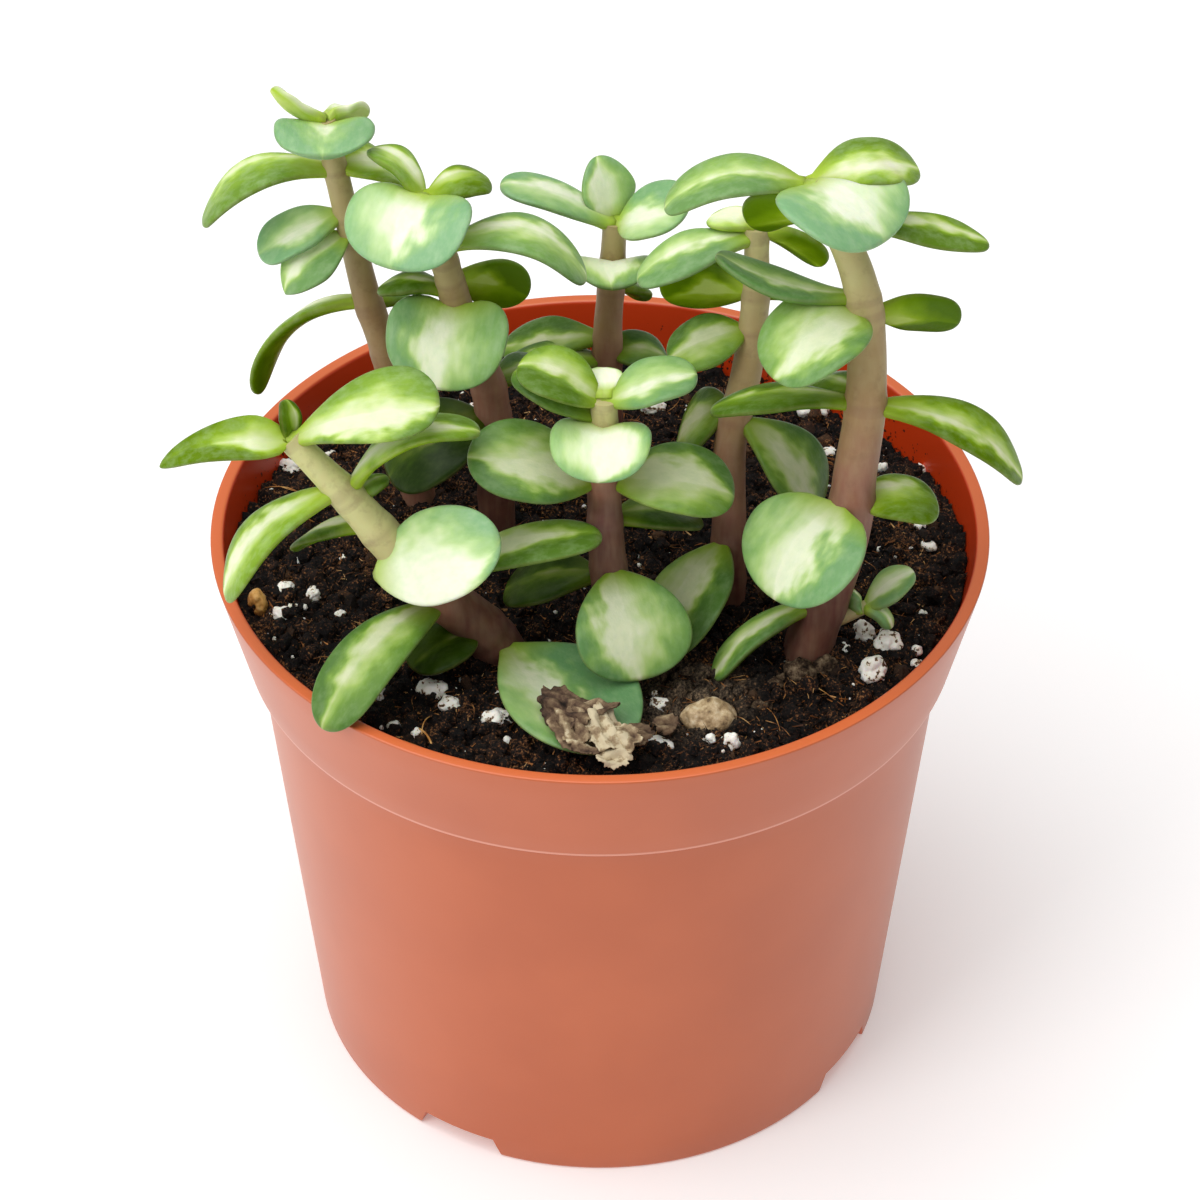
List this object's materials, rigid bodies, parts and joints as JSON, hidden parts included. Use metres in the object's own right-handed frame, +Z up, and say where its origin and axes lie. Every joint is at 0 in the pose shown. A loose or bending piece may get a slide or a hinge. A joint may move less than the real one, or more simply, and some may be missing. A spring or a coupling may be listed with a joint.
{
  "type": "potted elephant bush",
  "caption": "Variegated elephant bush with short leafy stems growing in a round tapered nursery pot filled with soil.",
  "frame": {"origin": "centre of the pot's foot, on the surface that the pot stands on", "axes": "+Z up along the pot's axis, -Y towards the front of the plant, +X to its right"},
  "size_m": [0.1094, 0.105, 0.1479],
  "materials": {
    "moulded_polypropylene": "satin",
    "potting_mix": "matte",
    "succulent_leaf": "satin",
    "succulent_stem": "satin",
    "perlite": "matte",
    "plant_fibre": "matte",
    "dry_leaf": "matte",
    "tan_mineral": "matte",
    "amber_mineral": "satin"
  },
  "bodies": {
    "root": {"nursery_pot": "moulded_polypropylene", "potting_soil": "potting_mix", "leafy_stem_left_back": "succulent_leaf", "leafy_stem_left_middle": "succulent_leaf", "leafy_stem_left_front": "succulent_leaf", "leafy_stem_centre_back": "succulent_leaf", "leafy_stem_centre_front": "succulent_leaf", "leafy_stem_right_middle": "succulent_leaf", "leafy_stem_right_front": "succulent_leaf", "dried_leaf_husk": "dry_leaf", "tan_stone": "tan_mineral", "amber_stone": "amber_mineral"}
  },
  "joints": []
}
